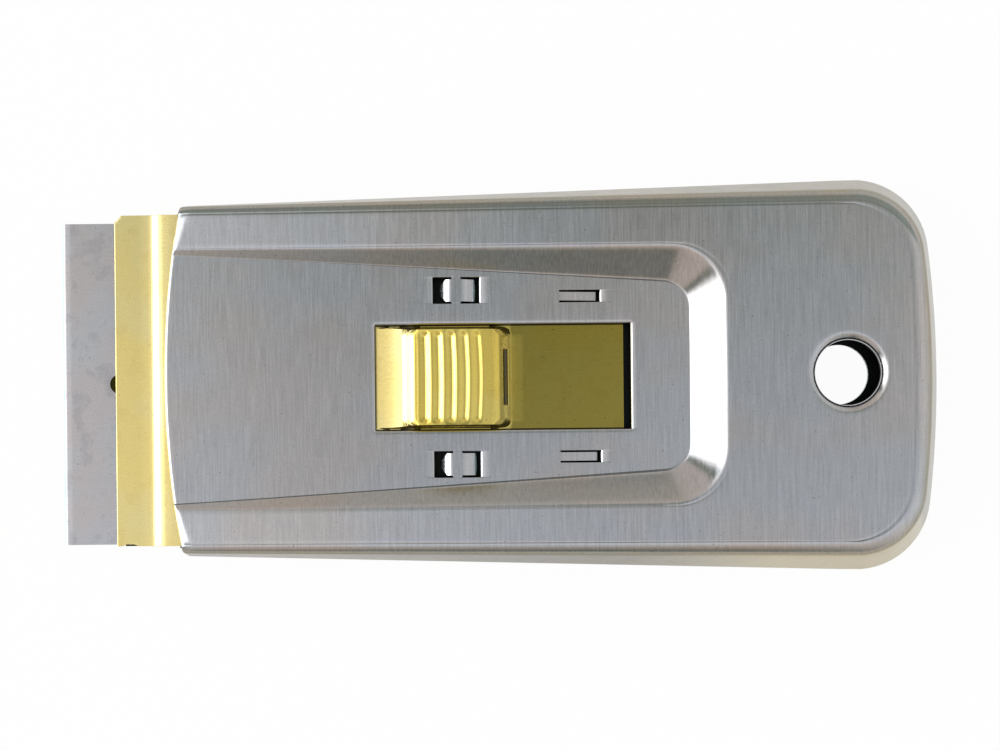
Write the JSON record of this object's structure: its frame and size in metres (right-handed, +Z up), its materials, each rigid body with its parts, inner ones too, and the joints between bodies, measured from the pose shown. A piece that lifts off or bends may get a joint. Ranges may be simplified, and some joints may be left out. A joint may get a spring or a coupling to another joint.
{
  "type": "razor blade scraper",
  "caption": "Pocket scraper of pressed sheet steel whose single-edge blade slides out of the front on a plated carrier with a ribbed thumb grip.",
  "frame": {"origin": "middle of the flat underside of the body, without the blade", "axes": "+X from the blade's end to the end with the hanging hole, +Y across the tool, +Z up out of the face with the thumb grip"},
  "size_m": [0.1041, 0.0466, 0.0082],
  "materials": {
    "plated_steel": "satin bright plating with a fine grain across the tool",
    "base_steel": "satin plating",
    "yellow_plate": "glossy yellow plating on steel",
    "spring_steel": "tempered spring steel",
    "blade_steel": "ground and oiled blade steel"
  },
  "bodies": {
    "body": {"top_shell": "plated_steel", "bottom_plate": "base_steel"},
    "carrier": {"blade_carrier": "yellow_plate", "clamp_plate": "yellow_plate", "slide_spring": "spring_steel", "razor_blade": "blade_steel", "blade_spine": "base_steel"}
  },
  "joints": [
    {"name": "carrier_slide", "type": "slide", "parent": "body", "child": "carrier", "axis": [1, 0, 0], "range_m": [0, 0.01399]}
  ]
}
